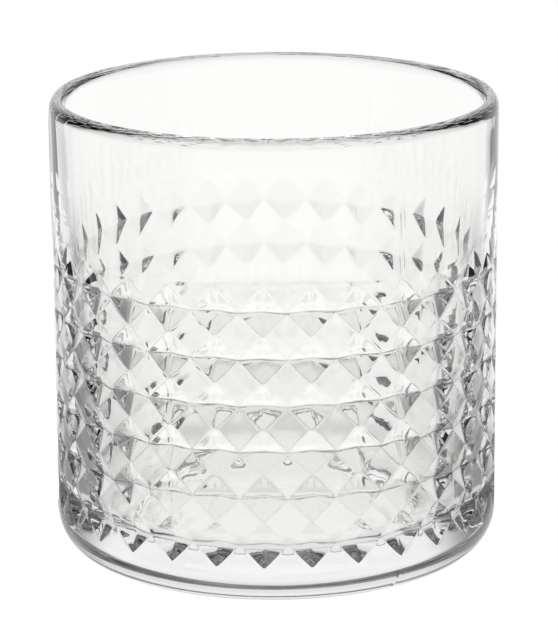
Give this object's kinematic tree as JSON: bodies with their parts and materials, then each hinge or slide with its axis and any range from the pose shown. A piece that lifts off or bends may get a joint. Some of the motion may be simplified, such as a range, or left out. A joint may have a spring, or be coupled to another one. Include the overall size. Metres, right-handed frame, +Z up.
{
  "type": "whiskey tumbler",
  "caption": "Clear pressed-glass whiskey tumbler with a smooth upper band, a rounded rim, a thick floor and rings of diamond notches round the body.",
  "frame": {"origin": "centre of the underside, on the plane that the glass stands on", "axes": "+Z up along the axis of the glass, -Y towards a column of notches"},
  "size_m": [0.084, 0.084, 0.0872],
  "materials": {
    "glass": "clear soda-lime glass, fire-polished and smooth, with very slight waviness from the mould"
  },
  "bodies": {
    "root": {"tumbler": "glass"}
  },
  "joints": []
}
